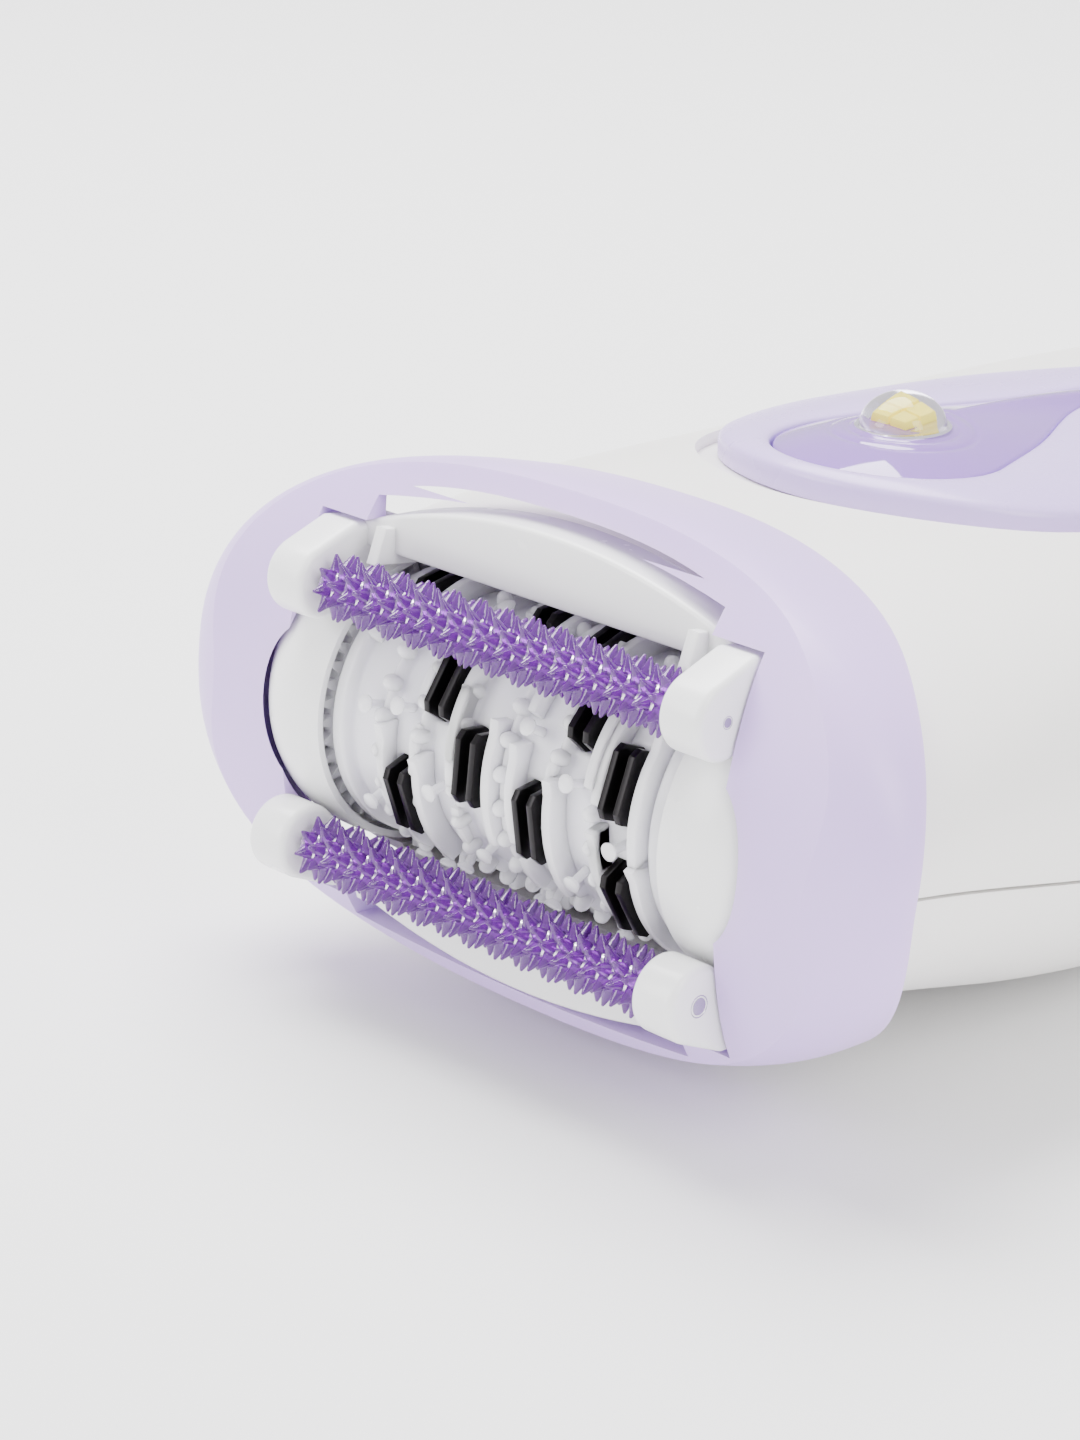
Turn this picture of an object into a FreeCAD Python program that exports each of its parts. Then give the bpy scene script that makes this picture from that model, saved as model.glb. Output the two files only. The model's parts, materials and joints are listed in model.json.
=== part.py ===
"""Cordless epilator with a clip-on massage cap, modelled as an assembly of separate pieces.

Frame: +Z up, the epilator lies on its back with the work light facing up, the head points to -Y and the
tail to +Y.  X is across the head and is the axis of the tweezer drum.  All sizes are millimetres.

The head pieces are drawn in a head frame (drum axis at the origin, -Y straight out of the face) and then
tipped nose-up by HEAD_PITCH and moved to DRUM_Y, DRUM_Z.  The handle shells are drawn in stations along Y.
"""
import FreeCAD
import Part
import math
import os

V = FreeCAD.Vector
os.makedirs("parts", exist_ok=True)

# ---- driving dimensions -----------------------------------------------------------------------------
HEAD_PITCH = 5.2            # degrees, nose up
DRUM_Y = -64.836             # drum axis in the row frame
DRUM_Z = 20.6
WALL = 1.8                  # shell wall
CAP_WALL = 1.4
SEAM = 0.25                 # gap of the visible seams

DRUM_LENGTH = 32.0
CORE_R = 8.2                # bare drum between its ribs
RIB_R = 10.1
BLADE_R = 11.0              # tip of the tweezer plates
BLADE_THICK = 0.55
BLADE_SPAN = 5.2            # along the rim
BLADE_GAP = 0.9             # open gap of a tweezer pair
# Tweezer pairs as (x, degrees above -Y); each is repeated on the opposite side of the drum
PAIRS = [(-12.6, 75), (-8.6, -23), (-5.4, 31), (-1.6, 2), (-1.6, 80), (4.3, -12), (4.3, 68), (7.7, 40), (12.2, 17),
         (12.2, -33)]
CLOSE_TRAVEL = 0.45
AXLE_R = 1.5

GEAR_M = 0.45               # spur train module
DRUM_TEETH = 43
IDLER_TEETH = 18
SPUR_TEETH = 14
CROWN_M = 0.5
CROWN_TEETH = 32
PINION_TEETH = 10
BACKLASH = 0.10
GEAR_X = -17.9              # outer face of the drum gear
GEAR_WIDTH = 0.9
SHAFT_R = 1.0
RUNNING = 0.05              # radial clearance of running fits

OPENING_X = 21.2            # half width of the cap's square opening
OPENING_Z = 13.9
ARCH_X = 16.6               # half width between the corner lugs
ARCH_RISE = 17.1
ROLLER_R = 2.0
ROLLER_AXLE_R = 0.6
ROLLER_HALF = 17.0
HOLDER_WIDTH = 3.7
UPPER_ROLLER = (-9.9, 9.6)  # axis in the head frame, y and z
LOWER_ROLLER = (-10.4, -9.6)
HOLDER_R = 2.7

MOTOR_R = 10.0
MOTOR_LENGTH = 27.0
CELL_R = 7.0
CELL_LENGTH = 48.0
JACK_R = 1.8
JACK_DEPTH = 12.0

IDLER_Y = (DRUM_TEETH + IDLER_TEETH) * GEAR_M / 2
CROWN_Y = IDLER_Y + (IDLER_TEETH + SPUR_TEETH) * GEAR_M / 2
CROWN_R = CROWN_TEETH * CROWN_M / 2
PINION_R = PINION_TEETH * CROWN_M / 2
PINION_Y = CROWN_Y + CROWN_R
MOTOR_Y = PINION_Y + 3.2

# Handle stations: y, half width, top, bottom (measured from the drum axis), squareness
BODY = [
    (-8.0, 31.0, 12.6, -13.2, 2.6),
    (4.0, 31.7, 13.9, -14.8, 2.6),
    (16.0, 32.0, 15.0, -18.2, 2.6),
    (32.0, 32.0, 14.6, -21.0, 2.6),
    (50.0, 31.6, 14.0, -21.4, 2.6),
    (75.0, 30.4, 12.8, -21.6, 2.6),
    (100.0, 28.4, 10.4, -21.2, 2.5),
    (122.0, 25.4, 6.6, -19.6, 2.4),
    (134.0, 21.2, 2.6, -17.6, 2.3),
    (140.5, 15.6, -1.6, -15.6, 2.2),
    (143.6, 8.8, -5.2, -13.8, 2.1),
]
FLOOR_LAND = -20.6          # the belly is cut flat here and rests on it
PARTING = [(-12, 0.6), (4, -1.8), (18, -5.0), (36, -8.0), (60, -10.0), (95, -10.8), (125, -10.8), (150, -10.5)]

# Massage cap stations in the head frame: y, half width, top, bottom, squareness
CAP = [
    (-11.4, 22.6, 12.2, -11.6, 2.4),
    (-10.4, 28.2, 15.0, -14.2, 2.4),
    (-8.8, 32.2, 17.2, -16.0, 2.35),
    (-6.4, 34.0, 18.8, -17.4, 2.35),
    (-2.0, 34.4, 19.4, -18.0, 2.35),
    (4.0, 34.0, 18.5, -17.6, 2.35),
    (12.0, 33.4, 16.6, -16.6, 2.35),
]
CAP_NOSE = [(-3.6, 24), (-5.1, 17.2), (-7.05, 14.2), (-9.3, 8), (-10.3, 0), (-9.3, -8), (-7.05, -14.2), (-5.1, -17.2),
            (-3.6, -24)]                                                # y, z of the front edge
CAP_BACK = [(24, 11.5), (19.4, 9.4), (17.6, 5.4), (15.0, 1.6), (12.0, -1.8), (8.0, -4.2), (2.0, -5.6), (-4.0, -5.4),
            (-9.0, -3.4), (-14.0, 0.2), (-18.5, 3.2), (-24, 5.0)]       # z, y of the back edge


# ---- helpers ----------------------------------------------------------------------------------------
def superellipse(y, half_width, top, bottom, n, inset=0.0, points=36):
    """Closed spline wire of a rounded section in the plane of constant y."""
    a = half_width - inset
    b = (top - bottom) / 2 - inset
    middle = (top + bottom) / 2
    ring = []
    for i in range(points):
        t = 2 * math.pi * i / points
        c, s = math.cos(t), math.sin(t)
        x = a * math.copysign(abs(c) ** (2 / n), c)
        z = middle + b * math.copysign(abs(s) ** (2 / n), s)
        ring.append(V(x, y, z))
    curve = Part.BSplineCurve()
    curve.interpolate(ring, PeriodicFlag=True)
    return Part.Wire([curve.toShape()])


def loft(stations, inset=0.0):
    return Part.makeLoft([superellipse(*s, inset=inset) for s in stations], True, False)


def spline_edge(points):
    curve = Part.BSplineCurve()
    curve.interpolate(points)
    return curve.toShape()


def side_block(profile, corners, reach=60):
    """Prism across X: its side view is the spline through profile, closed through the corners. Both are (y, z)."""
    edge = spline_edge([V(-reach, y, z) for y, z in profile])
    chain = [V(-reach, *profile[-1])] + [V(-reach, y, z) for y, z in corners] + [V(-reach, *profile[0])]
    wire = Part.Wire([edge] + Part.makePolygon(chain).Edges)
    return Part.Face(wire).extrude(V(2 * reach, 0, 0))


def box(x0, x1, y0, y1, z0, z1):
    return Part.makeBox(x1 - x0, y1 - y0, z1 - z0, V(x0, y0, z0))


def x_cylinder(r, x0, x1, y=0.0, z=0.0):
    return Part.makeCylinder(r, x1 - x0, V(x0, y, z), V(1, 0, 0))


def y_cylinder(r, y0, y1, x=0.0, z=0.0):
    return Part.makeCylinder(r, y1 - y0, V(x, y0, z), V(0, 1, 0))


def z_cylinder(r, z0, z1, x=0.0, y=0.0):
    return Part.makeCylinder(r, z1 - z0, V(x, y, z0), V(0, 0, 1))


def to_row(shape):
    """Head frame to row frame: tip nose-up, then move the drum axis to its place."""
    placed = shape.copy()
    placed.rotate(V(0, 0, 0), V(1, 0, 0), -HEAD_PITCH)
    placed.translate(V(0, DRUM_Y, DRUM_Z))
    return placed


def handle_to_row(shape):
    placed = shape.copy()
    placed.translate(V(0, DRUM_Y, DRUM_Z))
    return placed


def involute_outline(teeth, module, phase=0.0):
    """Closed outline of a spur gear, as (u, v) points; a tooth is centred on angle phase in degrees."""
    pitch = teeth * module / 2
    base = pitch * math.cos(math.radians(20))
    tip = pitch + 0.9 * module
    root = pitch - 1.2 * module

    def flank(r):
        a = math.acos(min(1.0, base / r))
        return math.tan(a) - a

    half = math.pi / (2 * teeth) - BACKLASH / (2 * pitch) + flank(pitch)
    radii = [max(base, root) + (tip - max(base, root)) * k / 4 for k in range(5)]
    outline = []
    for i in range(teeth):
        centre = math.radians(phase) + 2 * math.pi * i / teeth
        left = [(r, centre - half + flank(r)) for r in radii]
        right = [(r, centre + half - flank(r)) for r in reversed(radii)]
        foot = [(root, centre - half)] if root < base else []
        heel = [(root, centre + half)] if root < base else []
        outline += foot + left + right + heel
    return [(r * math.cos(a), r * math.sin(a)) for r, a in outline]


def x_gear(teeth, module, x0, x1, y, phase=0.0):
    """Spur gear on an axis along X; phase turns from +Y towards +Z."""
    ring = [V(x0, y + u, v) for u, v in involute_outline(teeth, module, phase)]
    return Part.Face(Part.makePolygon(ring + ring[:1])).extrude(V(x1 - x0, 0, 0))


def save(name, shape):
    solids = shape.Solids
    whole = solids[0] if len(solids) == 1 else Part.makeCompound(solids)
    bad = [s for s in solids if not s.isValid() or s.Volume <= 0]
    print(f"{name:26s} solids {len(solids):3d}  volume {sum(s.Volume for s in solids):10.1f}  {'BAD' if bad else 'ok'}")
    whole.exportStep(f"parts/{name}.step")


# ---- epilation head: drum, tweezers, side caps ------------------------------------------------------
def row_centres():
    return sorted({x for x, _ in PAIRS})


def all_pairs():
    """Every tweezer pair as (x, angle about X in degrees from -Y towards +Z)."""
    return [(x, angle + half_turn) for x, angle in PAIRS for half_turn in (0, 180)]


def turned(shape, angle):
    """Turns a shape drawn on the -Y side to an angle measured from -Y towards +Z."""
    copy = shape.copy()
    copy.rotate(V(0, 0, 0), V(1, 0, 0), -angle)
    return copy


def blade(x0, side):
    """One tweezer plate with chamfered outer corners, standing out of the drum on the -Y side."""
    half = BLADE_SPAN / 2
    inner, outer = -(CORE_R + 0.02), -BLADE_R
    ring = [(inner, -half), (inner, half), (outer + 0.7, half), (outer, half - 0.7), (outer, -half + 0.7),
            (outer + 0.7, -half)]
    face = Part.Face(Part.makePolygon([V(x0, y, z) for y, z in ring + ring[:1]]))
    return face.extrude(V(side * BLADE_THICK, 0, 0))


def tweezer_slot():
    """Space that a pair needs in the drum's ribs."""
    half = BLADE_SPAN / 2 + 0.25
    return box(-BLADE_GAP / 2 - BLADE_THICK - 0.15, BLADE_GAP / 2 + BLADE_THICK + 0.15, -RIB_R - 3, -CORE_R, -half, half)


def drum():
    half = DRUM_LENGTH / 2
    core = x_cylinder(CORE_R, -half, half)
    for x in row_centres():
        core = core.fuse(x_cylinder(RIB_R, x - 1.35, x + 1.35))
    core = core.fuse(x_cylinder(RIB_R - 0.3, half - 1.0, half)).fuse(x_cylinder(RIB_R - 0.3, -half, -half + 1.0))
    slots = []
    for x, angle in all_pairs():
        slot = turned(tweezer_slot(), angle)
        slot.translate(V(x, 0, 0))
        slots.append(slot)
    core = core.cut(Part.makeCompound(slots))
    core = core.cut(x_cylinder(AXLE_R + RUNNING, -half - 1, half + 1))
    save("drum_core", to_row(core.removeSplitter()))

    fixed, moving = [], []
    for x, angle in all_pairs():
        fixed.append(turned(blade(x - BLADE_GAP / 2, -1), angle))
        moving.append(turned(blade(x + BLADE_GAP / 2, 1), angle))
    save("tweezer_plates_fixed", to_row(Part.makeCompound(fixed)))
    save("tweezer_plates_moving", to_row(Part.makeCompound(moving)))

    gear = x_gear(DRUM_TEETH, GEAR_M, GEAR_X, GEAR_X + GEAR_WIDTH, 0.0)
    gear = gear.fuse(x_cylinder(6.0, GEAR_X + GEAR_WIDTH, -half)).cut(x_cylinder(AXLE_R + RUNNING, -20, 20))
    save("drum_gear", to_row(gear))
    save("drum_axle", to_row(x_cylinder(AXLE_R, -22.5, 22.5)))


def side_cap_solid(grow=0.0):
    """Domed end cover turned about the drum axis, on the +X side."""
    curve = spline_edge([V(16.6, -10.85 - grow, 0), V(19.0, -11.0 - grow, 0), V(21.6, -10.6 - grow, 0),
                         V(23.9 + grow / 2, -9.1 - grow, 0), V(25.4 + grow, -6.2 - grow / 2, 0)])
    chain = [V(25.4 + grow, -6.2 - grow / 2, 0), V(26.0 + grow, 0, 0), V(16.6, 0, 0), V(16.6, -10.85 - grow, 0)]
    face = Part.Face(Part.Wire([curve] + Part.makePolygon(chain).Edges))
    return face.revolve(V(0, 0, 0), V(1, 0, 0), 360)


def side_caps():
    cap = side_cap_solid().cut(x_cylinder(10.35, 16.0, 18.5)).cut(x_cylinder(9.3, 18.0, 20.5))
    cap = cap.cut(x_cylinder(AXLE_R, 17, 22.5))
    cap = cap.cut(box(15, 30, 7.5, 20, -20, 20))
    save("side_cap_right", to_row(cap))
    save("side_cap_left", to_row(cap.mirror(V(0, 0, 0), V(1, 0, 0))))


def head_chassis():
    """Back wall of the head with two arms that carry the drum axle."""
    wall = loft([(12.2, 27.0, 11.4, -11.4, 2.6), (14.2, 27.0, 11.4, -11.4, 2.6)])
    arms = [box(s * 19.5 - 0.9, s * 19.5 + 0.9, -3.0, 12.6, -5.0, 5.0) for s in (-1, 1)]
    body = wall.fuse(arms[0]).fuse(arms[1])
    body = body.cut(x_cylinder(AXLE_R, -25, 25))
    body = body.cut(box(-18.55, -15.6, 8, 20, -5.6, 5.6))          # the idler passes here
    body = body.cut(box(-22.3, -18.4, 11.2, 20, -2.5, 2.5))        # the idler's boss
    body = body.cut(x_cylinder(CROWN_R + 1.6, -6.0, -0.8, CROWN_Y))
    save("head_chassis", to_row(body))


# ---- massage cap ------------------------------------------------------------------------------------
def roller_arm(axis, sign):
    """Side view of a roller holder: a round eye on the roller axis and an arm back into the cap."""
    y, z = axis
    eye = x_cylinder(HOLDER_R, 0, HOLDER_WIDTH, y, z)
    root = [(y - 2.3, z + sign * 1.3), (y + 2.2, z - sign * 1.5), (-4.6, sign * 10.4), (-2.0, sign * 12.4),
            (-2.0, sign * 13.6), (-8.2, sign * 13.6)]
    arm = Part.Face(Part.makePolygon([V(0, *p) for p in root + root[:1]])).extrude(V(HOLDER_WIDTH, 0, 0))
    return eye.fuse(arm)


def bridge(axis, sign):
    """White bridge with two roller holders and a crescent bar that fills the cap's arched notch."""
    x0 = ROLLER_HALF + 0.25
    arm = roller_arm(axis, sign).cut(x_cylinder(ROLLER_AXLE_R, -1, HOLDER_WIDTH + 1, *axis))
    right = arm.copy()
    right.translate(V(x0, 0, 0))
    left = right.mirror(V(0, 0, 0), V(1, 0, 0))
    top = 16.8 if sign > 0 else 16.2
    arc = Part.Arc(V(-16.2, -6.4, sign * 14.0), V(0, -6.4, sign * top), V(16.2, -6.4, sign * 14.0)).toShape()
    low = [V(16.2, -6.4, sign * 14.0), V(20.6, -6.4, sign * 13.3), V(20.6, -6.4, sign * 12.0),
           V(-20.6, -6.4, sign * 12.0), V(-20.6, -6.4, sign * 13.3), V(-16.2, -6.4, sign * 14.0)]
    bar = Part.Face(Part.Wire([arc] + Part.makePolygon(low).Edges)).extrude(V(0, 4.2, 0))
    ribs = [box(x - 0.6, x + 0.6, -8.2, -3.6, *sorted((sign * 11.9, sign * 13.9))) for x in (-14.9, 14.9)]
    return right.fuse([left, bar] + ribs)


def massage_cap():
    outer = loft(CAP)
    inner = loft(CAP, inset=CAP_WALL)
    front = side_block(CAP_NOSE, [(-30, -24.0), (-30, 24.0)])
    back = side_block([(y, z) for z, y in CAP_BACK], [(40, -24.0), (40, 24.0)])
    opening = box(-OPENING_X, OPENING_X, -20, 20, -OPENING_Z, OPENING_Z)
    arch = []
    for sign in (1, -1):
        rise = ARCH_RISE if sign > 0 else 16.6
        arc = Part.Arc(V(-ARCH_X, -20, sign * 15.6), V(0, -20, sign * rise), V(ARCH_X, -20, sign * 15.6)).toShape()
        chain = [V(ARCH_X, -20, sign * 15.6), V(ARCH_X, -20, 0), V(-ARCH_X, -20, 0), V(-ARCH_X, -20, sign * 15.6)]
        arch.append(Part.Face(Part.Wire([arc] + Part.makePolygon(chain).Edges)).extrude(V(0, 40, 0)))
    cheek = side_cap_solid(0.45)
    frame = outer.cut(inner).fuse(outer.common(box(-60, 60, -20, -5.4, -40, 40)))
    frame = frame.cut(opening).cut(arch[0]).cut(arch[1]).cut(front).cut(back)
    frame = frame.cut(cheek).cut(cheek.mirror(V(0, 0, 0), V(1, 0, 0)))
    bridges = {"upper": bridge(UPPER_ROLLER, 1), "lower": bridge(LOWER_ROLLER, -1)}
    frame = frame.cut(bridges["upper"]).cut(bridges["lower"])
    frame = Part.makeCompound([s for s in frame.Solids if s.Volume > 50])
    save("cap_frame", to_row(frame))
    for name, axis in (("upper", UPPER_ROLLER), ("lower", LOWER_ROLLER)):
        save(f"{name}_roller_bridge", to_row(bridges[name]))
        end = ROLLER_HALF + 0.25 + HOLDER_WIDTH - 0.3
        save(f"{name}_roller_axle", to_row(x_cylinder(ROLLER_AXLE_R, -end, end, *axis)))
        roller = x_cylinder(ROLLER_R, -ROLLER_HALF, ROLLER_HALF, *axis)
        roller = roller.cut(x_cylinder(ROLLER_AXLE_R + RUNNING, -20, 20, *axis))
        save(f"{name}_massage_roller", to_row(roller))


# ---- drive ------------------------------------------------------------------------------------------
def crown_gear():
    """Face gear with straight teeth towards +X, on one hub with the small spur."""
    pitch_x = -PINION_R
    root_x, tip_x = pitch_x - 0.62, pitch_x + 0.42
    disc = x_cylinder(CROWN_R + 1.1, root_x - 1.6, root_x, CROWN_Y)
    teeth = []
    step = 2 * math.pi / CROWN_TEETH
    half_pitch = CROWN_M * math.pi / 4 - BACKLASH
    slope = math.tan(math.radians(20))
    for i in range(CROWN_TEETH):
        low = half_pitch + slope * (pitch_x - root_x)
        high = half_pitch - slope * (tip_x - pitch_x)
        ring = [(root_x - 0.3, -low), (root_x - 0.3, low), (root_x, low), (tip_x, high), (tip_x, -high), (root_x, -low)]
        tooth = Part.Face(Part.makePolygon([V(x, CROWN_Y + CROWN_R - 1.05, z) for x, z in ring + ring[:1]]))
        tooth = tooth.extrude(V(0, 2.1, 0))
        tooth.rotate(V(0, CROWN_Y, 0), V(1, 0, 0), math.degrees(step * (i + 0.5)))
        teeth.append(tooth)
    gear = disc.fuse(teeth)
    gear = gear.fuse(x_cylinder(2.2, -18.3, root_x - 1.0, CROWN_Y))
    idler_phase = 180.0 + 180.0 / IDLER_TEETH
    spur_phase = 180.0 + (180.0 / SPUR_TEETH if (idler_phase % (360 / IDLER_TEETH)) < 1e-6 else 0.0)
    gear = gear.fuse(x_gear(SPUR_TEETH, GEAR_M, -18.3, -16.4, CROWN_Y, spur_phase))
    gear = gear.cut(x_cylinder(SHAFT_R + RUNNING, -30, 30, CROWN_Y))
    save("crown_gear", to_row(gear))


def drive():
    # the drum gear has a tooth on +Y, so the idler has a gap on its -Y side
    idler = x_gear(IDLER_TEETH, GEAR_M, -18.3, -16.2, IDLER_Y, 180.0 + 180.0 / IDLER_TEETH)
    save("idler_gear", to_row(idler.cut(x_cylinder(SHAFT_R + RUNNING, -30, 30, IDLER_Y))))
    save("idler_shaft", to_row(x_cylinder(SHAFT_R, -22.0, -16.1, IDLER_Y)))
    crown_gear()
    save("crown_shaft", to_row(x_cylinder(SHAFT_R, -22.0, 6.5, CROWN_Y)))
    ring = [V(u, PINION_Y - 1.0, v) for u, v in involute_outline(PINION_TEETH, CROWN_M, 180.0)]
    pinion = Part.Face(Part.makePolygon(ring + ring[:1])).extrude(V(0, 2.0, 0))
    pinion = pinion.cut(y_cylinder(0.75, PINION_Y - 5, PINION_Y + 5))
    save("motor_pinion", to_row(pinion))
    save("motor_shaft", to_row(y_cylinder(0.75, PINION_Y - 1.2, MOTOR_Y + MOTOR_LENGTH - 3)))
    can = y_cylinder(MOTOR_R, MOTOR_Y, MOTOR_Y + MOTOR_LENGTH).common(box(-20, 20, 0, 90, -8.2, 8.2))
    can = can.fuse(y_cylinder(3.0, MOTOR_Y - 1.4, MOTOR_Y))
    can = can.cut(y_cylinder(0.75 + RUNNING, MOTOR_Y - 3, MOTOR_Y + MOTOR_LENGTH - 2.5))
    save("motor_can", to_row(can))
    tabs = [box(s * 5 - 1.2, s * 5 + 1.2, MOTOR_Y + MOTOR_LENGTH, MOTOR_Y + MOTOR_LENGTH + 2.6, -0.2, 0.2) for s in (-1, 1)]
    save("motor_terminals", to_row(Part.makeCompound(tabs)))
    frame = box(-22.0, -18.9, 10.5 + 4.4, MOTOR_Y, -6.4, 6.4)
    frame = frame.fuse(box(4.5, 6.5, CROWN_Y - 4, MOTOR_Y, -6.4, 6.4))
    frame = frame.fuse(box(-22.0, 11.0, MOTOR_Y - 1.4, MOTOR_Y, -8.0, 8.0))
    frame = frame.cut(y_cylinder(3.0, MOTOR_Y - 3, MOTOR_Y + 1))
    frame = frame.fuse(x_cylinder(2.2, -22.0, -18.9, IDLER_Y))
    frame = frame.cut(x_cylinder(SHAFT_R, -30, 30, CROWN_Y)).cut(x_cylinder(SHAFT_R, -30, 30, IDLER_Y))
    save("gearbox_frame", to_row(frame))


# ---- handle -----------------------------------------------------------------------------------------
def top_at(y):
    """Height of the handle's top centre line at a station, by straight interpolation between BODY rows."""
    for (y0, _, t0, _, _), (y1, _, t1, _, _) in zip(BODY, BODY[1:]):
        if y0 <= y <= y1:
            return t0 + (t1 - t0) * (y - y0) / (y1 - y0)
    return BODY[-1][2]


BEZEL_Y = 36.5              # centre of the round part of the teardrop
BEZEL_R = 18.0
BEZEL_TAIL = 80.0
LENS_Y = 31.0
LENS_R = 9.0
LENS_TAIL = 54.0
LIGHT_Y = 32.0


def teardrop(radius, centre, tail, z, tip=0.6):
    """Flat teardrop face: a round front and a tail that narrows in two S-curves."""
    start = math.radians(100)
    sx, sy = radius * math.sin(start), centre - radius * math.cos(start)
    left = spline_edge([V(-sx, sy, z), V(-radius * 0.74, sy + (tail - sy) * 0.28, z),
                        V(-radius * 0.30, sy + (tail - sy) * 0.62, z), V(-tip, tail, z)])
    right = spline_edge([V(tip, tail, z), V(radius * 0.30, sy + (tail - sy) * 0.62, z),
                         V(radius * 0.74, sy + (tail - sy) * 0.28, z), V(sx, sy, z)])
    nose = Part.Arc(V(sx, sy, z), V(0, centre - radius, z), V(-sx, sy, z)).toShape()
    end = Part.makePolygon([V(-tip, tail, z), V(tip, tail, z)]).Edges
    return Part.Face(Part.Wire([left] + end + [right, nose]))


def largest(shape):
    """The biggest solid of a cut, without the crumbs at its edges."""
    return max(shape.Solids, key=lambda solid: solid.Volume)


def lifted(stations, lift):
    """Handle stations raised or sunk by lift, for pieces that follow the handle's skin."""
    return [(y, a + lift, t + lift, b - lift, n) for y, a, t, b, n in stations]


SLIDER_Y = 96.0
DRUM_RELIEF_R = 11.7        # the shells stay this far from the drum's axis


def handle():
    outer = loft(BODY).cut(box(-60, 60, -60, 200, -60, FLOOR_LAND))
    inner = loft([BODY[0]] + BODY[1:-1], inset=WALL)
    reach = box(-60, 60, -9, BODY[-1][0] - 2.2, -60, 60)
    shell = outer.cut(inner.common(reach))
    back_edge = side_block([(y, z) for z, y in CAP_BACK], [(-60, -24.0), (-60, 24.0)])
    back_edge.rotate(V(0, 0, 0), V(1, 0, 0), -HEAD_PITCH)
    back_edge.translate(V(0, 0.35, 0))
    shell = shell.cut(back_edge).cut(x_cylinder(DRUM_RELIEF_R, -17.2, 17.2))
    end_relief = side_cap_solid(0.5)
    shell = shell.cut(end_relief).cut(end_relief.mirror(V(0, 0, 0), V(1, 0, 0)))

    def below(shift):
        return side_block([(y, z + shift) for y, z in PARTING], [(150, -70), (-12, -70)])

    posts = [(s * x, y) for x, y in ((20.5, 72.0), (18.0, 118.0)) for s in (-1, 1)]
    lower_posts = [z_cylinder(3.0, -30, 10, x, y) for x, y in posts]
    upper = largest(shell.cut(below(SEAM / 2)))
    lower = largest(shell.common(below(-SEAM / 2)))
    core = outer.common(inner)
    for post in lower_posts:
        lower = lower.fuse(post.common(core).common(below(-SEAM / 2)))
        upper = upper.fuse(post.common(core).cut(below(SEAM / 2)))
    screws = []
    for x, y in posts:
        lower = lower.cut(z_cylinder(2.3, -30, -17.0, x, y)).cut(z_cylinder(1.15, -20, 10, x, y))
        upper = upper.cut(z_cylinder(0.95, -20, -3.6, x, y))
        screws.append(z_cylinder(2.0, -18.6, -17.0, x, y).fuse(z_cylinder(0.95, -17.0, -5.0, x, y)))
    save("shell_screws", handle_to_row(Part.makeCompound(screws)))

    pocket = teardrop(BEZEL_R + 0.3, BEZEL_Y, BEZEL_TAIL + 0.4, -10).extrude(V(0, 0, 60))
    sunk = loft(lifted(BODY, -0.9))
    upper = upper.cut(pocket.cut(sunk))
    upper = upper.cut(teardrop(LENS_R - 1.6, LENS_Y, LENS_TAIL - 4, 2).extrude(V(0, 0, 40)))
    slot = box(-3.3, 3.3, SLIDER_Y - 9, SLIDER_Y + 9, -4, 40)
    upper = upper.cut(slot)
    jack = y_cylinder(4.1, 126, 150, 0, -10.6)
    save("upper_shell", handle_to_row(upper.cut(jack)))
    save("lower_shell", handle_to_row(lower.cut(jack)))
    socket = y_cylinder(4.0, 143.2 - JACK_DEPTH - 2.0, 143.2, 0, -10.6)
    socket = socket.cut(y_cylinder(JACK_R, 143.2 - JACK_DEPTH, 145, 0, -10.6))
    save("charging_socket", handle_to_row(socket))

    raised = loft(lifted(BODY, 0.9))
    bezel = teardrop(BEZEL_R, BEZEL_Y, BEZEL_TAIL, 0).extrude(V(0, 0, 60)).common(raised).cut(sunk)
    lens_hole = teardrop(LENS_R + 0.12, LENS_Y, LENS_TAIL + 0.2, 0).extrude(V(0, 0, 60))
    save("light_bezel", handle_to_row(bezel.cut(lens_hole)))
    lens = teardrop(LENS_R, LENS_Y, LENS_TAIL, 0).extrude(V(0, 0, 60)).common(loft(lifted(BODY, 1.5))).cut(sunk)
    light_z = top_at(LIGHT_Y)
    lens = lens.fuse(Part.makeSphere(3.6, V(0, LIGHT_Y, light_z + 0.4)).common(box(-9, 9, 20, 50, light_z - 0.3, 40)))
    lens = lens.cut(z_cylinder(2.35, 0, light_z + 1.3, 0, LIGHT_Y))
    save("light_lens", handle_to_row(lens))
    led = z_cylinder(2.2, light_z - 3.2, light_z + 0.2, 0, LIGHT_Y)
    led = led.fuse(Part.makeSphere(2.2, V(0, LIGHT_Y, light_z + 0.2)).common(box(-9, 9, 20, 50, light_z, light_z + 1.2)))
    save("work_light_led", handle_to_row(led))
    save("led_board", handle_to_row(box(-5, 5, LIGHT_Y - 6, LIGHT_Y + 6, light_z - 4.2, light_z - 3.2)))

    top = top_at(SLIDER_Y)
    slide_angle = math.degrees(math.atan2(top_at(SLIDER_Y + 5) - top_at(SLIDER_Y - 5), 10))
    knob = box(-6.0, 6.0, -6.5, 6.5, 0.35, 2.4)
    for k in range(5):
        knob = knob.cut(box(-7, 7, -4.3 + 2.0 * k, -3.7 + 2.0 * k, 1.9, 3))
    knob = knob.fuse(box(-2.9, 2.9, -4.5, 4.5, -3.2, 0.6))
    knob.rotate(V(0, 0, 0), V(1, 0, 0), slide_angle)
    knob.translate(V(0, SLIDER_Y - 3.6, top_at(SLIDER_Y - 3.6)))
    save("power_slider", handle_to_row(knob))
    print("slider direction", math.cos(math.radians(slide_angle)), math.sin(math.radians(slide_angle)))

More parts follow.
